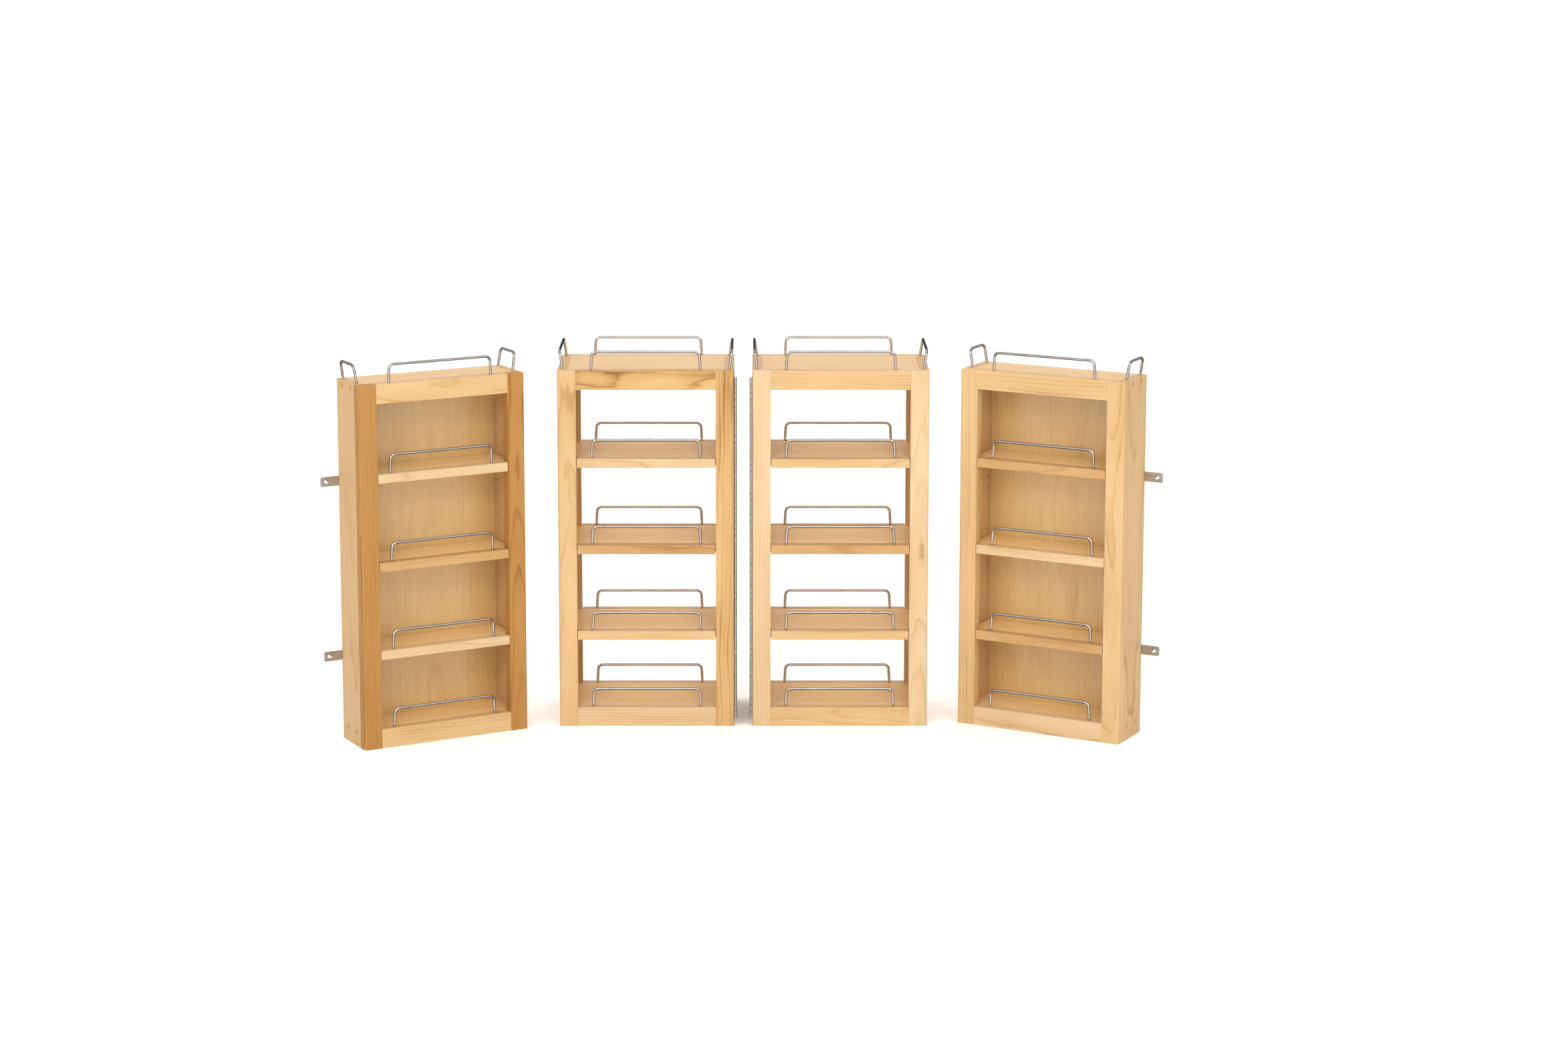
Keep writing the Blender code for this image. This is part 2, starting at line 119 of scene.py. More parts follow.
TAB_STEEL = 0.0018
TAB_HEIGHT = 0.017
TAB_OVERHANG = 0.033
TAB_HELD = 0.0145
TAB_CORNER = 0.003
TAB_CLEARANCE = 0.001
TAB_HEIGHTS = {"lower": 0.147, "upper": 0.4518}
print("hinge knuckles are", round(HINGE_LENGTH / KNUCKLES * 1000, 2), "mm long")

# %% [markdown]
# ## The camera
#
# A long lens, above the racks and looking slightly down, so that their uprights stay nearly
# parallel and their tops and shelves show.


# %% Camera
def add_object(name, data):
    """A new object that holds the data, in the scene."""
    thing = bpy.data.objects.new(name, data)
    bpy.context.scene.collection.objects.link(thing)
    return thing


LOOK_DOWN = 9.48  # degrees below the horizon
camera_data = bpy.data.cameras.new("camera")
camera_data.lens = 77.4
camera_data.sensor_width = 36
camera_data.shift_x = 0.0223
camera_data.shift_y = -0.085
camera_data.clip_end = 200
camera = add_object("camera", camera_data)
camera.location = (0.0102, -5.7333, 1.5500)
camera.rotation_euler = (math.radians(90 - LOOK_DOWN), 0, 0)
bpy.context.scene.camera = camera
bpy.context.scene.view_settings.view_transform = "Standard"
print("camera lens, mm:", camera_data.lens)

# %% [markdown]
# ## Studio
#
# Studios light chrome and lacquer in a white room with dark screens at its sides. The white walls
# and ceiling make the wood glow evenly, and the screens draw a dark edge along each bright wire,
# which is what makes it read as round metal. The room here is the world's own light, which changes
# with direction. It is asked for in three ways: matt surfaces are lit by the soft room, glossy ones
# mirror the room with its screens, and the camera sees plain white. Soft lamps add highlights from
# the front, and the floor stays out of the mirrored room.


# %% Colours and nodes
def linear(hex_colour):
    """An sRGB hex colour as linear RGBA, which is what shaders take."""
    channels = [int(hex_colour[i : i + 2], 16) / 255 for i in (1, 3, 5)]
    toned = [c / 12.92 if c <= 0.04045 else ((c + 0.055) / 1.055) ** 2.4 for c in channels]
    return (*toned, 1.0)


def add_node(tree, kind, inputs=None, **settings):
    """A node with its settings, and its inputs set to values or linked to other nodes' outputs."""
    node = tree.nodes.new(kind)
    for name, value in settings.items():
        setattr(node, name, value)
    for key, value in (inputs or {}).items():
        if isinstance(value, bpy.types.NodeSocket):
            tree.links.new(value, node.inputs[key])
        else:
            node.inputs[key].default_value = value
    return node


def principled(name, values):
    """A material with these values on its shader's sockets, then its node tree and its shader."""
    material = bpy.data.materials.new(name)
    material.use_nodes = True
    shader = material.node_tree.nodes["Principled BSDF"]
    for key, value in values.items():
        shader.inputs[key].default_value = value
    return material, material.node_tree, shader


def set_stops(ramp, stops):
    """Gives a colour ramp its (place, colour) stops."""
    elements = ramp.elements
    while len(elements) > len(stops):
        elements.remove(elements[-1])
    while len(elements) < len(stops):
        elements.new(1.0)
    for element, (place, colour) in zip(elements, stops):
        element.position = place
        element.color = colour


print("white is", linear("#ffffff"))

# %% Room light
world = bpy.data.worlds.new("white studio")
bpy.context.scene.world = world
world.use_nodes = True
room = world.node_tree
room.nodes.clear()
direction = add_node(room, "ShaderNodeTexCoord")
axes = add_node(room, "ShaderNodeSeparateXYZ", {0: direction.outputs["Generated"]})
sideways = add_node(room, "ShaderNodeMath", {0: axes.outputs["X"]}, operation="ABSOLUTE")


def room_light(front, zones):
    """Light by direction: the front's level, then zones that fade over it to their own levels."""
    level = front
    for source, start, end, strength in zones:
        fade = add_node(
            room,
            "ShaderNodeMapRange",
            {"Value": source, "From Min": start, "From Max": end},
            interpolation_type="SMOOTHSTEP",
        )
        level = add_node(
            room, "ShaderNodeMix", {0: fade.outputs[0], 2: level, 3: strength}, data_type="FLOAT"
        ).outputs[0]
    return add_node(
        room, "ShaderNodeBackground", {"Color": linear("#fffefc"), "Strength": level}
    ).outputs[0]


x, y, z = sideways.outputs[0], axes.outputs["Y"], axes.outputs["Z"]
soft_room = room_light(0.80, [(y, -0.4, 0.4, 0.95), (x, 0.6, 0.85, 0.04), (z, 0.3, 0.8, 1.5)])
floor_zone, screens, back, ceiling = (
    (z, -0.25, -0.6, 0.08),
    (y, -0.60, -0.40, 0.02),
    (y, 0.30, 0.55, 0.62),
    (z, 0.45, 0.80, 0.6),
)
screened_room = room_light(1.1, [floor_zone, screens, back, ceiling])
backdrop = add_node(room, "ShaderNodeBackground", {"Color": linear("#ffffff"), "Strength": 1.0})
ray = add_node(room, "ShaderNodeLightPath")
lit = add_node(
    room, "ShaderNodeMixShader", {0: ray.outputs["Is Glossy Ray"], 1: soft_room, 2: screened_room}
)
sight = add_node(
    room,
    "ShaderNodeMixShader",
    {0: ray.outputs["Is Camera Ray"], 1: lit.outputs[0], 2: backdrop.outputs[0]},
)
add_node(room, "ShaderNodeOutputWorld", {"Surface": sight.outputs[0]})
print("the room has", len(room.nodes), "nodes")

# %% Soft lamps
LAMPS = {  # where each lamp is, its watts, and its width and height in metres
    "left_softbox": ((-1.9, -3.6, 2.1), 16, (1.2, 1.2)),
    "right_softbox": ((1.9, -3.8, 1.9), 14, (1.0, 1.0)),
    "strip_softbox": ((0.0, -3.4, 2.7), 34, (4.6, 0.5)),
}
LAMP_AIM = Vector((0, 0, 0.3))
for name, (place, power, (width, tall)) in LAMPS.items():
    lamp_data = bpy.data.lights.new(name, "AREA")
    lamp_data.energy = power
    lamp_data.shape = "RECTANGLE"
    lamp_data.size, lamp_data.size_y = width, tall
    lamp = add_object(name, lamp_data)
    lamp.location = place
    lamp.rotation_mode = "QUATERNION"
    lamp.rotation_quaternion = (LAMP_AIM - lamp.location).to_track_quat("-Z", "Y")
    lamp.visible_camera = False
    print(name, power, "W")

# %% [markdown]
# ## Floor
#
# The racks stand on a light table: a wide sheet of white acrylic that glows faintly from below, so
# that shadows on it stay soft and pale.

# %% Floor
floor_sheet, sheet_tree, sheet_shader = principled(
    "white_acrylic_light_table",
    {
        "Roughness": 0.9,
        "Specular IOR Level": 0.1,
        "Emission Color": linear("#ffffff"),
        "Emission Strength": 0.16,
    },
)
clouds = add_node(sheet_tree, "ShaderNodeTexNoise", {"Scale": 3.0, "Detail": 2.0})
tint = add_node(sheet_tree, "ShaderNodeValToRGB", {0: clouds.outputs[0]})
set_stops(tint.color_ramp, [(0.3, linear("#fbfbfa")), (0.7, linear("#fefefe"))])
sheet_tree.links.new(tint.outputs[0], sheet_shader.inputs["Base Color"])
floor_mesh = bpy.data.meshes.new("studio_floor")
FLOOR_REACH = 90.0
corners = [(x * FLOOR_REACH, y * FLOOR_REACH, 0) for x, y in ((-1, -1), (1, -1), (1, 1), (-1, 1))]
floor_mesh.from_pydata(corners, [], [(0, 1, 2, 3)])
floor_mesh.materials.append(floor_sheet)
floor = add_object("studio_floor", floor_mesh)
floor.visible_glossy = False
print("floor is", FLOOR_REACH * 2, "m across")

# %% [markdown]
# ## Maple
#
# The boards are hard maple under a clear satin lacquer. What the eye sees is the tree's yearly
# rings, cut open by the saw: straight lines where the saw ran through the rings, and arches where
# it ran along them. A flat picture of grain would not agree from one face of a board to the next,
# so the rings are worked out in space instead. Each board's mesh carries where its points lay in
# the log, and the shader draws rings round the log's middle, waves them, and adds fine fibres along
# it. The same shader then gives faces, edges and end grain that belong together, and every board
# looks different because it came from another place in another log.
#
# Real maple rings are 2 to 4 mm apart. They are drawn 4.5 to 10 mm apart, because finer ones would
# not show from where the racks are seen whole.


# %% Maple shader
TONE_LEVEL = 0.30  # how far from its palest to its darkest tone plain wood lies


def maple(
    name, pale, honey, line, ring=0.0055, rings=0.34, fibres=0.35, mottle=0.45, gloss=0.15
):
    """Lacquered maple, from the colour of its palest wood to that of its darkest growth lines."""
    material, tree, shader = principled(
        name,
        {
            "IOR": 1.5,
            "Specular IOR Level": gloss,
            "Coat Weight": gloss * 0.5,
            "Coat Roughness": 0.16,
            "Coat IOR": 1.5,
        },
    )
    place = add_node(tree, "ShaderNodeAttribute", attribute_name="log_place").outputs["Vector"]

    # the distance from the log's middle, waved gently along the log and a little across it
    across = add_node(tree, "ShaderNodeVectorMath", {0: place, 1: (0, 1, 1)}, operation="MULTIPLY")
    radius = add_node(tree, "ShaderNodeVectorMath", {0: across.outputs[0]}, operation="LENGTH")
    waves = []
    for stretch, size in (((4.5, 14, 14), 0.016), ((22, 90, 90), 0.0022)):
        scaled = add_node(
            tree, "ShaderNodeVectorMath", {0: place, 1: stretch}, operation="MULTIPLY"
        )
        noise = add_node(
            tree,
            "ShaderNodeTexNoise",
            {"Vector": scaled.outputs[0], "Scale": 1.0, "Detail": 1.0},
        )
        waves.append(
            add_node(
                tree,
                "ShaderNodeMath",
                {0: noise.outputs[0], 1: size, 2: -size / 2},
                operation="MULTIPLY_ADD",
            ).outputs[0]
        )
    waved = add_node(
        tree, "ShaderNodeMath", {0: radius.outputs["Value"], 1: waves[0]}, operation="ADD"
    )
    waved = add_node(tree, "ShaderNodeMath", {0: waved.outputs[0], 1: waves[1]}, operation="ADD")
    years = add_node(tree, "ShaderNodeMath", {0: waved.outputs[0], 1: ring}, operation="DIVIDE")
    season = add_node(tree, "ShaderNodeMath", {0: years.outputs[0]}, operation="FRACT")
    summer = add_node(tree, "ShaderNodeValToRGB", {0: season.outputs[0]})
    growth = ((0.0, 0.2), (0.15, 0.0), (0.75, 0.25), (0.93, 1.0), (1.0, 0.2))
    set_stops(summer.color_ramp, [(when, (dark,) * 4) for when, dark in growth])
    # some years grew darker lines than others
    yearly = add_node(
        tree,
        "ShaderNodeTexNoise",
        {"W": years.outputs[0], "Scale": 0.7, "Detail": 1.0},
        noise_dimensions="1D",
    )
    lines = add_node(
        tree, "ShaderNodeMath", {0: summer.outputs[0], 1: yearly.outputs[0]}, operation="MULTIPLY"
    )

    # fibres about a millimetre across and a hand's width long, and broad clouds of tone
    tones = []
    for stretch, detail, weight in (((9, 850, 850), 3.0, fibres), ((5, 26, 26), 2.0, mottle)):
        scaled = add_node(
            tree, "ShaderNodeVectorMath", {0: place, 1: stretch}, operation="MULTIPLY"
        )
        noise = add_node(
            tree,
            "ShaderNodeTexNoise",
            {"Vector": scaled.outputs[0], "Scale": 1.0, "Detail": detail},
        )
        tones.append((noise.outputs[0], weight))
    tone = add_node(
        tree,
        "ShaderNodeMath",
        {0: lines.outputs[0], 1: rings * 2, 2: TONE_LEVEL - (fibres + mottle) / 2},
        operation="MULTIPLY_ADD",
    )
    for noise, weight in tones:
        tone = add_node(
            tree,
            "ShaderNodeMath",
            {0: noise, 1: weight, 2: tone.outputs[0]},
            operation="MULTIPLY_ADD",
        )
    colour = add_node(tree, "ShaderNodeValToRGB", {0: tone.outputs[0]})
    set_stops(
        colour.color_ramp, [(0.0, linear(pale)), (0.5, linear(honey)), (1.0, linear(line))]
    )
    tree.links.new(colour.outputs[0], shader.inputs["Base Color"])

    # the lacquer sinks a little into the fibres, so they are slightly rougher
    rough = add_node(
        tree, "ShaderNodeMath", {0: tones[0][0], 1: 0.22, 2: 0.28}, operation="MULTIPLY_ADD"
    )
    tree.links.new(rough.outputs[0], shader.inputs["Roughness"])
    relief = add_node(
        tree,
        "ShaderNodeBump",
        {"Height": tones[0][0], "Strength": 0.25, "Distance": 0.00015},
    )
    tree.links.new(relief.outputs[0], shader.inputs["Normal"])
    return material


# %% Maple boards of several tones
pale_maple = maple("pale_lacquered_maple", "#dec39d", "#d2b285", "#b18650", mottle=0.7)
honey_maple = maple("honey_lacquered_maple", "#dcbb8c", "#cfaa76", "#a77c45", mottle=1.0)
golden_maple = maple(
    "golden_lacquered_maple", "#d5b17b", "#c69d64", "#8e602a", rings=0.50, mottle=1.25
)
brown_maple = maple("tan_brown_lacquered_maple", "#cfaa76", "#c09661", "#966a36", mottle=0.8)
amber_maple = maple(
    "amber_lacquered_maple", "#bf9050", "#ae7c40", "#805424", ring=0.0045, rings=0.42
)
side_maple = maple("tan_lacquered_maple", "#d9b88b", "#cca574", "#a87f4a")
top_maple = maple("peach_lacquered_maple", "#e6c498", "#dcb685", "#c59a67", rings=0.2, gloss=0.1)
# This veneer is paler than the frames' maple: partly its own pale tone, partly painted light that
# makes up for the shade under the shelf above.
shelf_veneer_with_painted_light = maple(
    "sliced_maple_veneer",
    "#f8daa4",
    "#ecc88d",
    "#cfa26a",
    ring=0.010,
    rings=0.2,
    fibres=0.5,
    gloss=0.14,
)
veneer = maple(
    "rotary_cut_maple_veneer",
    "#e2c48a",
    "#d3ad6f",
    "#a37c42",
    ring=0.008,
    rings=0.15,
    fibres=0.75,
    gloss=0.8,
)
plug_maple = maple("maple_plug_end", "#cfa066", "#bd8a4e", "#8f6030", rings=0.2)
print(len(bpy.data.materials), "materials so far")

# %% [markdown]
# ## Chrome and nickel
#
# The wire rails are steel rod, polished and plated with bright chrome, which mirrors the white room
# and the wood round it. The tabs and hinges are nickel plated over a brushed surface: greyer and
# softer, with faint streaks along the brushing. Both darken where they are seen edge on.


# %% Plated steel
def plating(name, dark, light, rough, streaks, relief):
    """Plated steel. rough is its lowest and highest roughness, streaks its pattern per metre."""
    material, tree, shader = principled(
        name, {"Metallic": 1.0, "Specular Tint": linear("#5c5c60")}
    )
    spot = add_node(tree, "ShaderNodeTexCoord")
    scaled = add_node(
        tree,
        "ShaderNodeVectorMath",
        {0: spot.outputs["Object"], 1: streaks},
        operation="MULTIPLY",
    )
    marks = add_node(
        tree,
        "ShaderNodeTexNoise",
        {"Vector": scaled.outputs[0], "Scale": 1.0, "Detail": 3.0},
    )
    colour = add_node(tree, "ShaderNodeValToRGB", {0: marks.outputs[0]})
    set_stops(colour.color_ramp, [(0.3, linear(dark)), (0.7, linear(light))])
    tree.links.new(colour.outputs[0], shader.inputs["Base Color"])
    dull = add_node(
        tree,
        "ShaderNodeMath",
        {0: marks.outputs[0], 1: rough[1] - rough[0], 2: rough[0]},
        operation="MULTIPLY_ADD",
    )
    tree.links.new(dull.outputs[0], shader.inputs["Roughness"])
    bump = add_node(
        tree,
        "ShaderNodeBump",
        {"Height": marks.outputs[0], "Strength": relief, "Distance": 0.00005},
    )
    tree.links.new(bump.outputs[0], shader.inputs["Normal"])
    return material


chrome = plating("polished_chrome_plate", "#c6c2bd", "#d6d3cf", (0.03, 0.07), (60, 60, 60), 0.05)
nickel = plating("brushed_nickel_plate", "#b4b6ba", "#cdcfd2", (0.22, 0.30), (40, 350, 350), 0.04)
print("chrome and nickel are ready")

# %% [markdown]
# ## How pieces are made
#
# Every piece is drawn in its rack's own frame: x across the rack from its middle, y from its front
# face back, and z up from the floor. The object's own matrix then stands it where its rack is. A
# rack's place comes from the box of its packed face frame, whose middle doesn't change when the
# rack is turned.
#
# Boards start as a block or as an outline pulled to its thickness. Their edges are rounded in the
# mesh, then the holes are cut, and last each point is told where it lay in the log.

# %% Where the racks stand
Rack = namedtuple("Rack", "name hand place body depth ends")
TURNS = {"left": math.radians(28.7), "right": math.radians(-28.9)}
HANDS = {"left": -1, "right": 1}


def rack_place(frame_node, turn):
    """The matrix of a rack's frame, from the box of its face frame at the front."""
    low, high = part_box(frame_node)
    middle = (Vector(low) + Vector(high)) / 2
    turned = Matrix.Rotation(turn, 4, "Z")
    front = turned @ Vector((0, -FRAME_THICKNESS / 2, 0))
    return Matrix.Translation((middle.x + front.x, middle.y + front.y, 0)) @ turned


racks = []
for word, hand in HANDS.items():
    place = rack_place(f"{word}_door_face_frame", TURNS[word])
    ends = {"outer": hand, "inner": -hand}
    racks.append(Rack(f"{word}_door", hand, place, "fixed_set", DOOR_DEPTH, ends))
    place = rack_place(f"{word}_swing_front_frame", 0)
    ends = {"free": hand, "hinge": -hand}
    racks.append(Rack(f"{word}_swing", hand, place, f"{word}_swing_rack", SWING_DEPTH, ends))
for rack in racks:
    print(rack.name, "stands at", [round(v * 1000, 1) for v in rack.place.translation])


# %% Solids
def block(low, high):
    """A box as a bmesh, from its lowest to its highest corner."""
    low, high = Vector(low), Vector(high)
    builder = bmesh.new()
    bmesh.ops.create_cube(builder, size=1.0)
    bmesh.ops.scale(builder, vec=high - low, verts=builder.verts)
    bmesh.ops.translate(builder, vec=(low + high) / 2, verts=builder.verts)
    return builder


def pulled(outline, depth):
    """A solid from a flat outline of 3-D points, pulled along the vector depth."""
    builder = bmesh.new()
    face = builder.faces.new([builder.verts.new(point) for point in outline])
    copy = bmesh.ops.extrude_face_region(builder, geom=[face])
    moved = [item for item in copy["geom"] if isinstance(item, bmesh.types.BMVert)]
    bmesh.ops.translate(builder, vec=depth, verts=moved)
    bmesh.ops.recalc_face_normals(builder, faces=builder.faces)
    return builder


def rod(start, end, radius, sides=16, end_radius=None):
    """A round rod or a cone from start to end."""
    start, end = Vector(start), Vector(end)
    builder = bmesh.new()
    bmesh.ops.create_cone(
        builder,
        cap_ends=True,
        segments=sides,
        radius1=radius,
        radius2=radius if end_radius is None else end_radius,
        depth=(end - start).length,
    )
    turn = (end - start).to_track_quat("Z", "Y").to_matrix().to_4x4()
    bmesh.ops.transform(
        builder, matrix=Matrix.Translation((start + end) / 2) @ turn, verts=builder.verts
    )
    return builder


def round_edges(builder, radius, segments, wanted=None):
    """Rounds the sharp edges, or those of them whose two ends are wanted."""
    edges = [
        edge
        for edge in builder.edges
        if edge.is_manifold
        and edge.calc_face_angle() > math.radians(45)
        and (wanted is None or wanted(edge.verts[0].co, edge.verts[1].co))
    ]
    bmesh.ops.bevel(
        builder, geom=edges, offset=radius, segments=segments, profile=0.5, affect="EDGES"
    )
    return builder


TOUCH = 1e-5  # places closer than this, in metres, are the same


def both_at(a, b, **places):
    """Whether both ends of an edge lie at these places along the named axes."""
    return all(
        abs(getattr(end, axis) - place) < TOUCH for end in (a, b) for axis, place in places.items()
    )


def as_mesh(name, builder):
    """A finished bmesh as a mesh."""
    mesh = bpy.data.meshes.new(name)
    builder.to_mesh(mesh)
    builder.free()
    return mesh


def gather(name, builders):
    """Several solids as one mesh."""
    whole = bmesh.new()
    for builder in builders:
        part = as_mesh("part", builder)
        whole.from_mesh(part)
        bpy.data.meshes.remove(part)
    return as_mesh(name, whole)


def cut(mesh, cutters):
    """The mesh with the cutters' shapes taken out of it."""
    solid = add_object("solid", mesh)
    tool = add_object("tool", gather("tool", cutters))
    boolean = solid.modifiers.new("cut", "BOOLEAN")
    boolean.object = tool
    boolean.operation = "DIFFERENCE"
    boolean.solver = "EXACT"
    evaluated = solid.evaluated_get(bpy.context.evaluated_depsgraph_get())
    result = bpy.data.meshes.new_from_object(evaluated)
    result.name = mesh.name
    tool_mesh = tool.data
    for thing in (solid, tool):
        bpy.data.objects.remove(thing, do_unlink=True)
    for old in (mesh, tool_mesh):
        bpy.data.meshes.remove(old)
    return result


def add_piece(rack, name, mesh, material, stands_for=(), body=None, smooth=35):
    """Stands a finished mesh in its rack, as a piece that rides on the rack's body or another."""
    piece = add_object(f"{rack.name}_{name}", mesh)
    piece.matrix_world = rack.place
    mesh.materials.clear()
    mesh.materials.append(material)
    mesh.shade_smooth()
    mesh.set_sharp_from_angle(angle=math.radians(smooth))
    even = piece.modifiers.new("Even faces", "WEIGHTED_NORMAL")
    even.keep_sharp = True
    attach(piece, body or rack.body)
    if stands_for:
        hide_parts(*[f"{rack.name}_{node}" for node in stands_for])
    return piece


print("block, pulled, rod, round_edges, cut and add_piece are ready")

# %% [markdown]
# ## Sawing the boards
#
# How a board was sawn decides its figure. One cut through the rings is straight-grained, one cut
# along them near the middle of the log has arches, and others lie between. Each way is given by how
# far the log's middle lay from the board, sideways and behind its face, and by how much the board
# leans from the log's own line.

# %% Ways to saw a board
SAWN = {  # log's middle, sideways and behind the face (m), and the board's lean (radians)
    "straight": (0.150, 0.030, 0.004),
    "rift": (0.070, 0.070, 0.012),
    "arched": (0.005, 0.040, 0.034),
    "flat": (0.014, 0.095, 0.022),
}
log_draws = random.Random(11)


def saw(mesh, grain, way):
    """Writes each point's place in the log. grain names the axes along, across and through."""
    points = [vertex.co for vertex in mesh.vertices]
    order = ["xyz".index(letter) for letter in grain]
    middle = [(min(p[i] for p in points) + max(p[i] for p in points)) / 2 for i in range(3)]
    sideways, behind, lean = SAWN[way]
    along_log = log_draws.uniform(0.0, 30.0)
    sideways *= log_draws.choice((-1, 1)) * log_draws.uniform(0.8, 1.2)
    lean *= log_draws.choice((-1, 1)) * log_draws.uniform(0.7, 1.3)
    behind += log_draws.uniform(0.0, 0.02)
    places = mesh.attributes.new("log_place", "FLOAT_VECTOR", "POINT")
    values = []
    for point in points:
        along, across, through = (point[i] - middle[i] for i in order)
        values += [along_log + along, across + sideways, through + behind + lean * along]
    places.data.foreach_set("vector", values)


TONES = {
    "left_door_outer_stile": (amber_maple, "straight"),
    "left_door_inner_stile": (amber_maple, "arched"),
    "left_door_top_rail": (honey_maple, "flat"),
    "left_door_bottom_rail": (honey_maple, "straight"),
    "left_swing_front_free_stile": (honey_maple, "flat"),
    "left_swing_front_hinge_stile": (golden_maple, "rift"),
    "left_swing_front_top_rail": (golden_maple, "flat"),
    "left_swing_front_bottom_rail": (pale_maple, "straight"),
    "right_swing_front_free_stile": (pale_maple, "arched"),
    "right_swing_front_hinge_stile": (pale_maple, "straight"),
    "right_swing_front_top_rail": (honey_maple, "straight"),
    "right_swing_front_bottom_rail": (honey_maple, "arched"),
    "right_door_inner_stile": (honey_maple, "straight"),
    "right_door_outer_stile": (honey_maple, "arched"),
    "right_door_top_rail": (honey_maple, "rift"),
    "right_door_bottom_rail": (pale_maple, "flat"),
}
tone_draws = random.Random(5)


def add_board(rack, name, mesh, grain, stands_for=(), body=None, finish=None):
    """A lacquered board, with its own tone of maple and its own way of sawing."""
    usual = (tone_draws.choice((pale_maple, honey_maple)), tone_draws.choice(("flat", "rift")))
    tone, way = TONES.get(f"{rack.name}_{name}", usual)
    if finish:
        tone, way = finish
    saw(mesh, grain, way)
    return add_piece(rack, name, mesh, tone, stands_for, body)


print(len(TONES), "boards have a tone of their own")

# %% [markdown]
# ## Chromed wire rails
#
# Each rail is one length of 4.8 mm rod, bent twice into a shallow U. Its two ends are turned down a
# little thinner, so that they fit the drilled holes and a small shoulder shows above the wood. A
# curve with round corners and a round section gives exactly that: the curve's radius narrows at its
# feet, and it is turned into a mesh so that it can be finished like the rest.


# %% Wire rails
SHOULDER = 0.86  # how thick the turned-down foot of a wire is, beside the rest of it
SHOULDER_RISE = (0.0036, 0.0042)  # where the shoulder starts and ends above the wood
FOOT_GAP = 0.00025  # between a foot and its hole
PAST = 0.001  # how far a cutter reaches past the face that it cuts


def rounded_corner(before, corner, after, radius, steps):
    """The arc that rounds a path's corner, as points."""
    to_before = (before - corner).normalized()
    to_after = (after - corner).normalized()
    half_angle = to_before.angle(to_after) / 2
    centre = corner + (to_before + to_after).normalized() * radius / math.sin(half_angle)
    start = corner + to_before * radius / math.tan(half_angle) - centre
    end = corner + to_after * radius / math.tan(half_angle) - centre
    axis, sweep = start.cross(end), start.angle(end)
    return [centre + Quaternion(axis, sweep * i / steps) @ start for i in range(steps + 1)]


def wire_mesh(name, feet, lean=Vector((0, 0, 0))):
    """A U of wire on two feet that are sunk in the wood. lean is how far its top leans over."""
    first, last = (Vector(foot) for foot in feet)
    along = (last - first).normalized()
    rise = Vector((0, 0, RAIL_RISE)) + lean
    tuck = along * RAIL_RISE * math.tan(RAIL_SPLAY)
    sunk = Vector((0, 0, -FOOT_DEPTH))
    corners = (first + rise + tuck, last + rise - tuck)
    ankles = []
    for foot, knee in ((first, corners[0]), (last, corners[1])):
        leg = (knee - foot).normalized()
        ankle = [foot + leg * rise for rise in SHOULDER_RISE]
        ankles.append([foot + sunk, foot + sunk * 0.05, *ankle])
    path = (
        ankles[0]
        + rounded_corner(first, corners[0], corners[1], WIRE_BEND, 8)
        + rounded_corner(corners[0], corners[1], last, WIRE_BEND, 8)
        + ankles[1][::-1]
    )
    curve = bpy.data.curves.new(name, "CURVE")
    curve.dimensions = "3D"
    curve.bevel_depth = WIRE_RADIUS
    curve.bevel_resolution = 6
    curve.use_fill_caps = True
    spline = curve.splines.new("POLY")
    spline.points.add(len(path) - 1)
    for place, point in zip(spline.points, path):
        place.co = (*point, 1.0)
    for step in range(len(ankles[0]) - 1):
        spline.points[step].radius = spline.points[-1 - step].radius = SHOULDER
    guide = add_object(name, curve)
    evaluated = guide.evaluated_get(bpy.context.evaluated_depsgraph_get())
    tube = bpy.data.meshes.new_from_object(evaluated)
    bpy.data.objects.remove(guide, do_unlink=True)
    bpy.data.curves.remove(curve)
    builder = bmesh.new()
    builder.from_mesh(tube)
    bpy.data.meshes.remove(tube)
    bmesh.ops.remove_doubles(builder, verts=builder.verts, dist=TOUCH)
    bmesh.ops.recalc_face_normals(builder, faces=builder.faces)
    return as_mesh(name, builder)


def across_feet(y, z):
    """Where the feet of a rail along the rack's width stand."""
    return [(-RAIL_SPAN / 2, y, z), (RAIL_SPAN / 2, y, z)]


def foot_holes(feet):
    """The drilled holes that a rail's feet are pushed into."""
    return [
        rod((x, y, z - FOOT_DEPTH - JOINT_GAP), (x, y, z + PAST), WIRE_RADIUS + FOOT_GAP)
        for x, y, z in feet
    ]


def add_wire(rack, name, feet, stands_for=(), body=None, lean=Vector((0, 0, 0))):
    """A chromed rail on its feet, as a piece of a rack."""
    mesh = wire_mesh(name, feet, lean)
    return add_piece(rack, name, mesh, chrome, stands_for, body, smooth=60)


print("a rail stands", round(RAIL_RISE * 1000 + WIRE_RADIUS * 1000, 1), "mm proud")

# %% [markdown]
# ## Face frames
#
# A face frame is two full-height stiles with a top and a bottom rail glued between them. The
# boards are sanded after gluing, so their faces are level and only a hairline shows at each joint.
# The outer corners of the stiles are rounded over, and every other edge is just broken. A short
# thin groove shows on the top end of each stile, where the rail's tongue runs into it.

# %% Face frames
STILE_ROUND = 0.0035
TOP_ROUND = 0.0015
EDGE_BREAK = 0.0006
HAIRLINE = 0.00025
GROOVE = (0.0148, 0.0008, 0.0012)  # length, width and depth of the tongue's groove


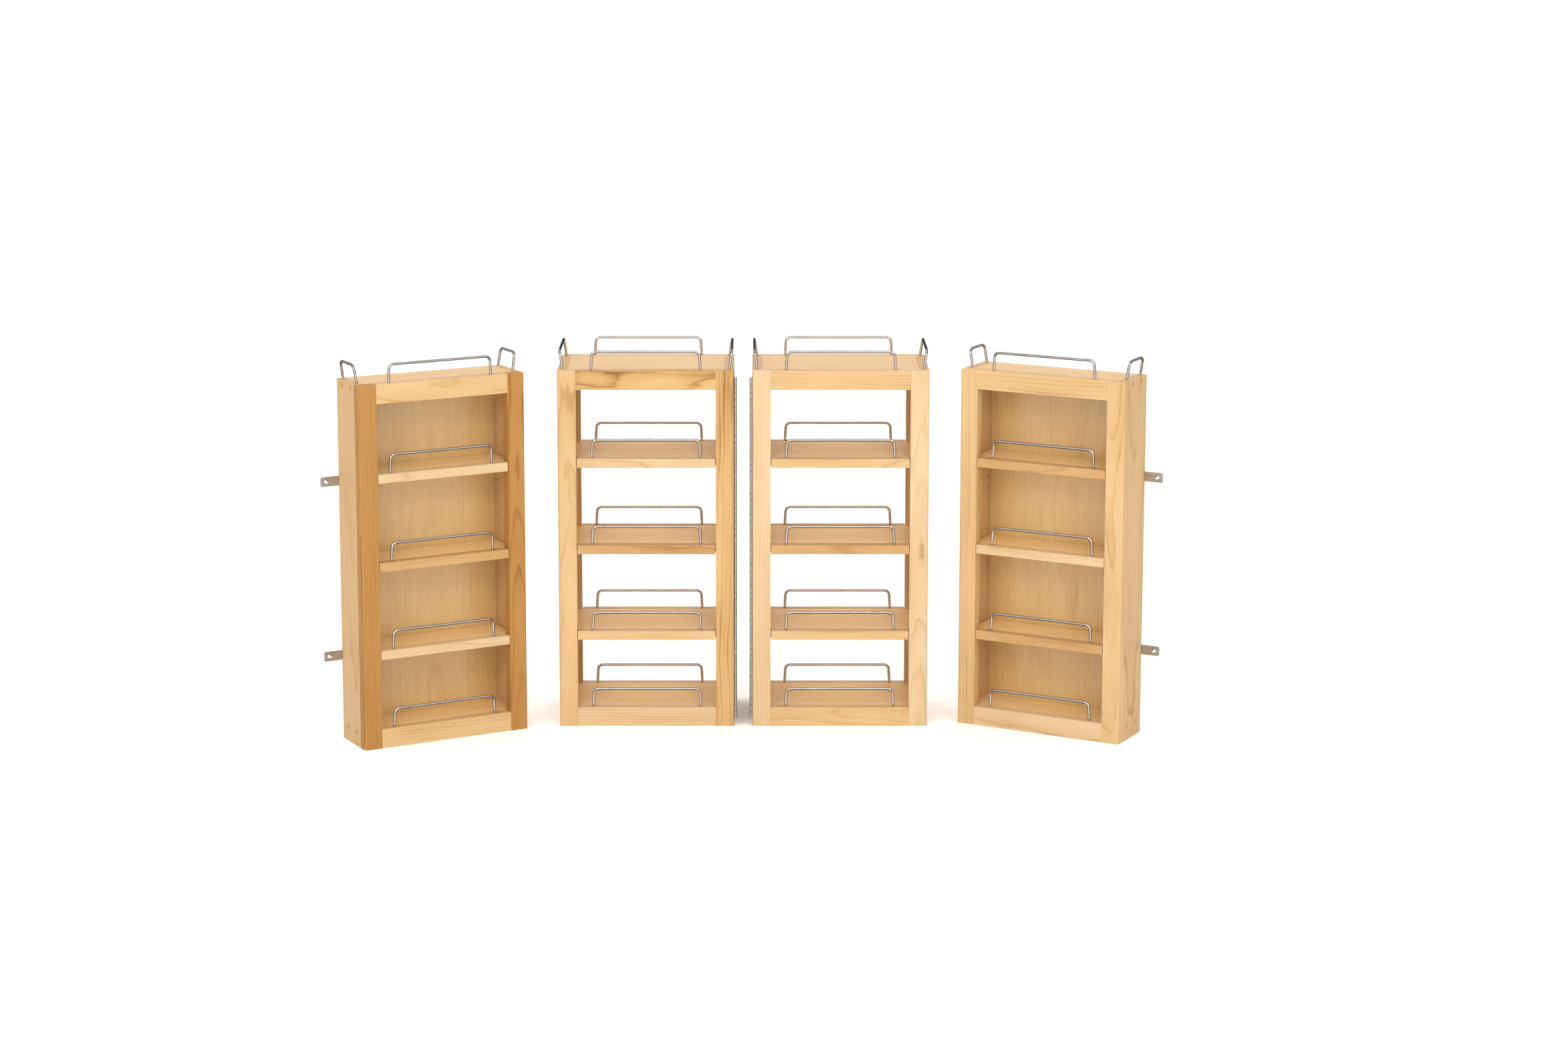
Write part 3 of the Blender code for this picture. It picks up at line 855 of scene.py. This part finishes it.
def frame_boards(rack, label, front, wires, node):
    """Four boards of a face frame. front is the y of its front face, wires that of its rails."""
    back = front + FRAME_THICKNESS
    outside = front if front == 0 else back
    prefix = f"{label}_" if label else ""
    for word, side in rack.ends.items():
        xs = sorted((side * HALF_WIDTH, side * HALF_OPENING))
        stile = block((xs[0], front, 0), (xs[1], back, RACK_HEIGHT))
        inner, outer = side * HALF_OPENING, side * HALF_WIDTH
        round_edges(stile, STILE_ROUND, 4, lambda a, b: both_at(a, b, x=outer, y=outside))
        round_edges(
            stile,
            TOP_ROUND,
            3,
            lambda a, b: both_at(a, b, z=RACK_HEIGHT) and not both_at(a, b, x=inner),
        )
        round_edges(stile, HAIRLINE, 1)
        length, width, deep = GROOVE
        groove_x = sorted((inner, inner + side * length))
        groove_y = front + FRAME_THICKNESS * (0.76 if front == 0 else 0.24)
        groove = block(
            (groove_x[0], groove_y - width / 2, RACK_HEIGHT - deep),
            (groove_x[1], groove_y + width / 2, RACK_HEIGHT + PAST),
        )
        mesh = cut(as_mesh("stile", stile), [groove])
        add_board(rack, f"{prefix}{word}_stile", mesh, "zxy", [node])
    for word, low, high in (
        ("bottom", 0, RAIL_HEIGHT),
        ("top", RACK_HEIGHT - RAIL_HEIGHT, RACK_HEIGHT),
    ):
        rail = block((-HALF_OPENING, front, low), (HALF_OPENING, back, high))
        if word == "top":
            round_edges(rail, TOP_ROUND, 3, lambda a, b: both_at(a, b, y=outside, z=RACK_HEIGHT))
        round_edges(rail, HAIRLINE if word == "top" else EDGE_BREAK, 2)
        feet = across_feet(wires, high)
        mesh = cut(as_mesh("rail", rail), foot_holes(feet))
        add_board(rack, f"{prefix}{word}_rail", mesh, "xzy", [node])


for rack in racks:
    if rack.depth == DOOR_DEPTH:
        frame_boards(rack, "", 0, RAIL_SET_BACK, "face_frame")
        add_wire(rack, "bottom_wire", across_feet(RAIL_SET_BACK, RAIL_HEIGHT), ["face_frame"])
        add_wire(
            rack, "top_front_wire", across_feet(RAIL_SET_BACK, RACK_HEIGHT), ["top_front_rail"]
        )
        continue
    fronts = {"front": 0, "back": SWING_DEPTH - FRAME_THICKNESS}
    for word, front in fronts.items():
        y = RAIL_SET_BACK if word == "front" else SWING_DEPTH - RAIL_SET_BACK
        frame_boards(rack, word, front, y, f"{word}_frame")
        add_wire(rack, f"bottom_{word}_wire", across_feet(y, RAIL_HEIGHT), [f"{word}_frame"])
        add_wire(rack, f"top_{word}_wire", across_feet(y, RACK_HEIGHT), [f"top_{word}_rail"])

# %% [markdown]
# ## Side boards
#
# The sides run the full height between the frames. Inside they are drilled with two columns of
# blind holes, three quarters of an inch apart, so that a shelf can go at any height. Outside, the
# screws that hold the top and bottom boards are hidden under round plugs, which are glued in and
# sanded flush. The plugs are separate pieces with their own grain, in shallow counterbores. The
# loose shelf clips are bent from strip steel, and each hooks into a hole behind it.

# %% Side boards, plugs and clips
PLUG_RADIUS = 0.0047
PLUG_DEPTH = 0.003
PLUG_GAP = 0.00015
PLUG_SUNK = 0.00008
PLUG_SIDES = 28
PLUG_ROWS = (0.025, RACK_HEIGHT - 0.008)
PLUG_COLUMNS = {DOOR_DEPTH: (0.036, 0.0735), SWING_DEPTH: (0.045, 0.1455)}
DRILL_SIDES = 14


def board_ends(rack):
    """The front and back of a rack's side boards."""
    if rack.depth == DOOR_DEPTH:
        return BOARD_FRONT, DOOR_DEPTH
    return BOARD_FRONT, SWING_DEPTH - BOARD_FRONT


def clip_solid(side, y, underside):
    """One bent clip: a plate against the board, and a foot under the shelf."""
    face = side * HALF_INSIDE
    top = underside - JOINT_GAP
    profile = [
        (0.0, top + CLIP_HEIGHT),
        (0.0, top),
        (-0.0005, top - CLIP_STEEL + 0.0003),
        (-0.0012, top - CLIP_STEEL),
        (-CLIP_REACH, top - CLIP_STEEL),
        (-CLIP_REACH, top),
        (-0.0020, top),
        (-0.0014, top + 0.0002),
        (-CLIP_STEEL, top + 0.0008),
        (-CLIP_STEEL, top + CLIP_HEIGHT),
    ]
    start = y - CLIP_WIDTH / 2
    solid = pulled([(face + side * x, start, z) for x, z in profile], (0, CLIP_WIDTH, 0))
    return round_edges(solid, 0.00025, 1)


def side_board(rack, word, side):
    """A side board with its holes, plugs and clips."""
    front, back = board_ends(rack)
    xs = sorted((side * HALF_WIDTH, side * HALF_INSIDE))
    board = block((xs[0], front, 0), (xs[1], back, RACK_HEIGHT))
    round_edges(board, EDGE_BREAK, 2)
    inner, outer = side * HALF_INSIDE, side * HALF_WIDTH
    columns = (front + CLIP_SET_IN, back - CLIP_SET_IN)
    cutters = []
    for y in columns:
        for row in HOLE_ROWS:
            z = RACK_HEIGHT / 2 + row * HOLE_PITCH
            start, end = (inner - side * PAST, y, z), (inner + side * HOLE_DEPTH, y, z)
            cutters.append(rod(start, end, HOLE_RADIUS, DRILL_SIDES))
    plugs = []
    for y in PLUG_COLUMNS[rack.depth]:
        for z in PLUG_ROWS:
            seat = outer - side * PLUG_DEPTH
            mouth = (outer + side * PAST, y, z)
            cutters.append(rod((seat, y, z), mouth, PLUG_RADIUS + PLUG_GAP, PLUG_SIDES))
            plug = rod((seat, y, z), (outer - side * PLUG_SUNK, y, z), PLUG_RADIUS, PLUG_SIDES)
            plugs.append(round_edges(plug, 0.0002, 1))
    door = rack.depth == DOOR_DEPTH
    span = DOOR_END_RAIL_SPAN if door else SWING_END_RAIL_SPAN
    middle = (FRAME_THICKNESS + DOOR_DEPTH) / 2 if door else SWING_DEPTH / 2
    x = side * (HALF_WIDTH - END_RAIL_SET_IN)
    feet = [(x, middle - span / 2, RACK_HEIGHT), (x, middle + span / 2, RACK_HEIGHT)]
    cutters += foot_holes(feet)
    if door:
        notch_x = sorted((side * (HALF_WIDTH - TAB_HELD - JOINT_GAP), side * (HALF_WIDTH + 0.005)))
        notch_half = TAB_HEIGHT / 2 + TAB_CLEARANCE
        for z in TAB_HEIGHTS.values():
            cutters.append(
                block(
                    (notch_x[0], DOOR_DEPTH - TAB_STEEL - JOINT_GAP, z - notch_half),
                    (notch_x[1], DOOR_DEPTH + 0.005, z + notch_half),
                )
            )
    mesh = cut(as_mesh("side", board), cutters)
    node = f"{word}_side"
    finish = (side_maple, "flat" if word in ("outer", "free") else "rift")
    add_board(rack, f"{word}_side_board", mesh, "zyx", [node], finish=finish)
    plug_mesh = gather("plugs", plugs)
    add_board(
        rack, f"{word}_side_plugs", plug_mesh, "yzx", (), finish=(plug_maple, "rift")
    )
    clips = [
        clip_solid(side, y, z - SHELF_THICKNESS / 2) for y in columns for z in SHELF_MIDDLES
    ]
    add_piece(rack, f"{word}_clips", gather("clips", clips), nickel, [node])
    lean = Vector((side * RAIL_RISE * math.tan(END_RAIL_LEAN), 0, 0))
    end_node = f"top_{word}_rail" if door else node
    add_wire(rack, f"top_{word}_wire", feet, [end_node], lean=lean)


for rack in racks:
    for word, side in rack.ends.items():
        side_board(rack, word, side)
print("holes drilled:", 8 * 2 * len(HOLE_ROWS))

# %% [markdown]
# ## Top, bottom and back
#
# The fixed boards lie between the sides, with their grain along the rack's width. The door racks
# are closed by a thin plywood panel whose face veneer was peeled from the log, which gives it a
# wilder, darker figure that runs upright.

# %% Top, bottom and back boards
DECK_BREAK = 0.0003
for rack in racks:
    front, back = board_ends(rack)
    half = HALF_INSIDE - JOINT_GAP / 2
    door = rack.depth == DOOR_DEPTH
    panel_front = DOOR_DEPTH - PANEL_THICKNESS
    bottom_back = panel_front - JOINT_GAP if door else back
    bottom = block((-half, front, RAIL_HEIGHT - DECK_THICKNESS), (half, bottom_back, RAIL_HEIGHT))
    round_edges(bottom, DECK_BREAK, 1)
    add_board(
        rack, "bottom_deck", as_mesh("deck", bottom), "xyz", ["bottom_board"],
        finish=(shelf_veneer_with_painted_light, "rift"),
    )
    top = block((-half, front, RACK_HEIGHT - DECK_THICKNESS), (half, back, RACK_HEIGHT))
    round_edges(top, DECK_BREAK, 1)
    add_board(
        rack, "top_deck", as_mesh("deck", top), "xyz", ["top_board"], finish=(top_maple, "flat")
    )
    if door:
        panel = block(
            (-half, panel_front, 0), (half, DOOR_DEPTH, RACK_HEIGHT - DECK_THICKNESS - JOINT_GAP)
        )
        round_edges(panel, DECK_BREAK, 1)
        add_board(
            rack, "plywood_back", as_mesh("panel", panel), "zxy", ["back_panel"],
            finish=(veneer, "flat"),
        )
print("racks closed:", len(racks))

# %% [markdown]
# ## Shelves
#
# The shelves are loose: each can be lifted off its clips and moved to other holes. A shelf is a
# board that fills the space between the sides, with a solid strip glued along its front. The strip
# is as deep as the frame is thick and reaches just from stile to stile, so the shelf's edge comes
# level with the frame's face. The racks that are open at the back have a strip there too. The long
# edges are rounded so that they are kind to the hand, and each strip comes from a different board.
# A shelf's board, strips and rails all ride on the shelf's own body.

# %% Shelves and their rails
SHELF_ROUND = 0.0014
STRIP_DEPTH = FRAME_THICKNESS + SHELF_STILE_GAP
STRIP_TONES = {
    "left_door": (pale_maple, brown_maple, pale_maple),
    "left_swing": (honey_maple, brown_maple, pale_maple),
    "right_swing": (honey_maple, brown_maple, honey_maple),
    "right_door": (brown_maple, pale_maple, brown_maple),
}


def shelf_strip(front, low, outside):
    """A strip along a shelf's edge. outside is the y of the face that shows."""
    waist = HALF_OPENING - SHELF_STILE_GAP
    strip = block((-waist, front, low), (waist, front + STRIP_DEPTH, low + SHELF_THICKNESS))
    round_edges(
        strip, SHELF_ROUND, 3, lambda a, b: both_at(a, b, y=outside) and abs(a.z - b.z) < TOUCH
    )
    return round_edges(strip, HAIRLINE, 1)


for rack in racks:
    door = rack.depth == DOOR_DEPTH
    depth = DOOR_DEPTH - PANEL_THICKNESS - SHELF_BACK_GAP if door else SWING_DEPTH
    strips = {"": 0.0} if door else {"front_": 0.0, "back_": depth - STRIP_DEPTH}
    board_back = depth if door else depth - STRIP_DEPTH
    half = HALF_INSIDE - SHELF_END_GAP
    for number, middle in enumerate(SHELF_MIDDLES, 1):
        body = f"{rack.name}_shelf_{number}_body"
        node = f"shelf_{number}"
        low, top = middle - SHELF_THICKNESS / 2, middle + SHELF_THICKNESS / 2
        board = block((-half, STRIP_DEPTH, low), (half, board_back, top))
        mesh = as_mesh("shelf", round_edges(board, HAIRLINE, 1))
        add_board(
            rack, f"shelf_{number}_board", mesh, "xyz", [node], body, finish=(shelf_veneer_with_painted_light, "rift")
        )
        for word, front in strips.items():
            outside = 0.0 if front == 0 else depth
            strip = as_mesh("strip", shelf_strip(front, low, outside))
            y = RAIL_SET_BACK if front == 0 else depth - RAIL_SET_BACK
            feet = across_feet(y, top)
            finish = (STRIP_TONES[rack.name][number - 1], "flat")
            mesh = cut(strip, foot_holes(feet))
            add_board(
                rack, f"shelf_{number}_{word}strip", mesh, "xzy", [node], body, finish=finish
            )
            add_wire(rack, f"shelf_{number}_{word}wire", feet, [node], body)
print("shelves:", 3 * len(racks))

# %% [markdown]
# ## Screws
#
# A countersunk screw shows only its head: a shallow dome with a cross-shaped recess. It is turned
# from one solid, the recess is cut out, and the same shape is then copied to every hole.


# %% Screw heads
def screw_head(radius):
    """A screw head facing +Z, with its rim on z = 0."""
    head = rod((0, 0, -0.0008), (0, 0, 0.0003), radius * 0.75, 24, radius)
    round_edges(head, 0.00025, 2)
    arm, slot = radius * 0.58, radius * 0.17
    mesh = as_mesh("screw_head", head)
    for x, y in ((arm, slot), (slot, arm)):
        mesh = cut(mesh, [block((-x, -y, -0.0003), (x, y, 0.001))])
    return mesh


def copies(name, mesh, places):
    """One mesh that holds a copy of another at each of the places, which are matrices."""
    whole = bmesh.new()
    for place in places:
        part = mesh.copy()
        part.transform(place)
        whole.from_mesh(part)
        bpy.data.meshes.remove(part)
    return as_mesh(name, whole)


HINGE_SCREW_RADIUS = 0.0023
TAB_SCREW_RADIUS = 0.0034
hinge_screw, tab_screw = screw_head(HINGE_SCREW_RADIUS), screw_head(TAB_SCREW_RADIUS)
print("a screw head has", len(hinge_screw.polygons), "faces")

# %% [markdown]
# ## Mounting tabs
#
# The door racks hang on four steel tabs, punched from strip, with round outer corners and a
# countersunk hole near the end. Each is let into the back edge of a side board and screwed there.

# %% Mounting tabs
TAB_HOLE_RADIUS = 0.0027
TAB_RIM_RADIUS = 0.0044
TAB_HOLE_SET_IN = 0.009
TAB_SEAT_RADIUS = 0.0030


def tab_plate(side, z):
    """A tab with its two holes, in the back edge of a side board."""
    back = DOOR_DEPTH
    front = back - TAB_STEEL
    inner, outer = HALF_WIDTH - TAB_HELD, HALF_WIDTH + TAB_OVERHANG
    half = TAB_HEIGHT / 2
    square = ((inner, -half), (outer, -half), (outer, half), (inner, half))
    corners = [Vector((x, 0, dz)) for x, dz in square]
    outline = [corners[0]]
    for i in (1, 2):
        outline += rounded_corner(*corners[i - 1 : i + 2], TAB_CORNER, 6)
    outline.append(corners[3])
    plate = pulled([(side * p.x, front, z + p.z) for p in outline], (0, TAB_STEEL, 0))
    round_edges(plate, 0.0003, 2)
    x = side * (outer - TAB_HOLE_SET_IN)
    seat = side * (HALF_WIDTH - TAB_HELD / 2)
    cutters = [
        rod((x, front - PAST, z), (x, back + PAST, z), TAB_HOLE_RADIUS, 24),
        rod((seat, front - PAST, z), (seat, back + PAST, z), TAB_SEAT_RADIUS, 20),
    ]
    mesh = cut(as_mesh("tab", plate), cutters)
    rim = rod(
        (x, front - 0.0006, z),
        (x, front + 0.0011, z),
        TAB_RIM_RADIUS + 0.0006,
        24,
        TAB_RIM_RADIUS - 0.0016,
    )
    return cut(mesh, [rim])


for rack in racks:
    if rack.depth != DOOR_DEPTH:
        continue
    for word, side in rack.ends.items():
        for level, z in TAB_HEIGHTS.items():
            name = f"{level}_{word}_tab"
            plate = tab_plate(side, z)
            add_piece(rack, f"{name}_plate", plate, nickel, [name])
            seat = Vector((side * (HALF_WIDTH - TAB_HELD / 2), DOOR_DEPTH - 0.0004, z))
            facing = Matrix.Translation(seat) @ Matrix.Rotation(math.radians(-90), 4, "X")
            head = copies("tab_screw", tab_screw, [facing])
            add_piece(rack, f"{name}_screw", head, nickel)
print("tabs:", 2 * 4)

# %% [markdown]
# ## Piano hinges
#
# A piano hinge is two strips whose edges are rolled by turns round one long pin. Each leaf is a
# comb, cut away where the other's knuckles are, with a short tube at the end of every tooth. The
# knuckles are half an inch long, and a leaf is held by a row of small countersunk screws.

# %% Hinge leaves, pins and screws
KNUCKLE_GAP = 0.00025
LEAF_SCREWS = 12
SCREW_LINE = 0.0093
LEAF_HOLE_RADIUS = 0.0019
BARREL_EASE = 0.0002


def knuckle(low, high):
    """One rolled knuckle: a tube round the pin."""
    sides = 20
    builder = bmesh.new()
    rings = []
    profile = [
        (BORE_RADIUS, low),
        (BARREL_RADIUS - BARREL_EASE, low),
        (BARREL_RADIUS, low + BARREL_EASE),
        (BARREL_RADIUS, high - BARREL_EASE),
        (BARREL_RADIUS - BARREL_EASE, high),
        (BORE_RADIUS, high),
    ]
    for radius, z in profile:
        turns = [2 * math.pi * i / sides for i in range(sides)]
        rings.append(
            [builder.verts.new((radius * math.cos(t), radius * math.sin(t), z)) for t in turns]
        )
    for ring, following in zip(rings, rings[1:] + rings[:1]):
        for i in range(sides):
            j = (i + 1) % sides
            builder.faces.new((ring[i], ring[j], following[j], following[i]))
    bmesh.ops.recalc_face_normals(builder, faces=builder.faces)
    return builder


def hinge_leaf(side, first):
    """A leaf about the pin's axis. side is where its plate lies, first its first knuckle."""
    pitch = HINGE_LENGTH / KNUCKLES
    bottom = HINGE_END_GAP
    room = BARREL_RADIUS + KNUCKLE_GAP
    xs = (side * (BARREL_RADIUS - LEAF_THICKNESS), side * BARREL_RADIUS)
    comb = [(xs[0], LEAF_WIDTH, bottom), (xs[0], LEAF_WIDTH, bottom + HINGE_LENGTH)]
    tubes = []
    for i in reversed(range(KNUCKLES)):
        low = bottom + i * pitch
        if i % 2 == first:
            low, high = low + KNUCKLE_GAP, low + pitch - KNUCKLE_GAP
            comb += [(xs[0], room, high), (xs[0], 0, high), (xs[0], 0, low), (xs[0], room, low)]
            tubes.append(knuckle(low, high))
    if first == 1:
        comb.append((xs[0], room, bottom))
    else:
        comb.insert(2, (xs[0], room, bottom + HINGE_LENGTH))
    plate = pulled(comb, (xs[1] - xs[0], 0, 0))
    step = HINGE_LENGTH / LEAF_SCREWS
    heights = [bottom + step * (i + 0.5) for i in range(LEAF_SCREWS)]
    near, far = xs[0] - side * PAST, xs[1] + side * PAST
    holes = [rod((near, SCREW_LINE, z), (far, SCREW_LINE, z), LEAF_HOLE_RADIUS) for z in heights]
    mesh = cut(as_mesh("leaf", plate), holes)
    tube_mesh = gather("tubes", tubes)
    whole = bmesh.new()
    whole.from_mesh(mesh)
    whole.from_mesh(tube_mesh)
    for old in (mesh, tube_mesh):
        bpy.data.meshes.remove(old)
    turn = Matrix.Rotation(math.radians(-90 * side), 4, "Y")
    spots = [Matrix.Translation((xs[0] - side * 0.00002, SCREW_LINE, z)) @ turn for z in heights]
    return as_mesh("leaf", whole), copies("leaf_screws", hinge_screw, spots)


for rack in racks:
    if rack.depth != SWING_DEPTH:
        continue
    axis = Matrix.Translation((-rack.hand * HINGE_X, BARREL_SET_BACK, 0))
    for word, side, first, body in (
        ("rack_leaf", rack.hand, 0, rack.body),
        ("cabinet_leaf", -rack.hand, 1, "fixed_set"),
    ):
        leaf, heads = hinge_leaf(side, first)
        leaf.transform(axis)
        heads.transform(axis)
        add_piece(
            rack, f"{word}_plate", leaf, nickel, [f"hinge_{word}"], body
        )
        add_piece(rack, f"{word}_screws", heads, nickel, (), body)
    pin = rod((0, 0, HINGE_END_GAP), (0, 0, HINGE_END_GAP + HINGE_LENGTH), PIN_RADIUS, 16)
    pin_mesh = as_mesh("pin", round_edges(pin, 0.0002, 1))
    pin_mesh.transform(axis)
    add_piece(
        rack, "hinge_pin_rod", pin_mesh, nickel, ["hinge_pin"], "fixed_set"
    )
print("hinge knuckles:", 2 * KNUCKLES)

# %% [markdown]
# ## Finish
#
# The spare screw heads, which were only copied from, are removed, and the scene is brought up to
# date.

# %% End
for spare in (hinge_screw, tab_screw):
    bpy.data.meshes.remove(spare)
bpy.context.view_layer.update()
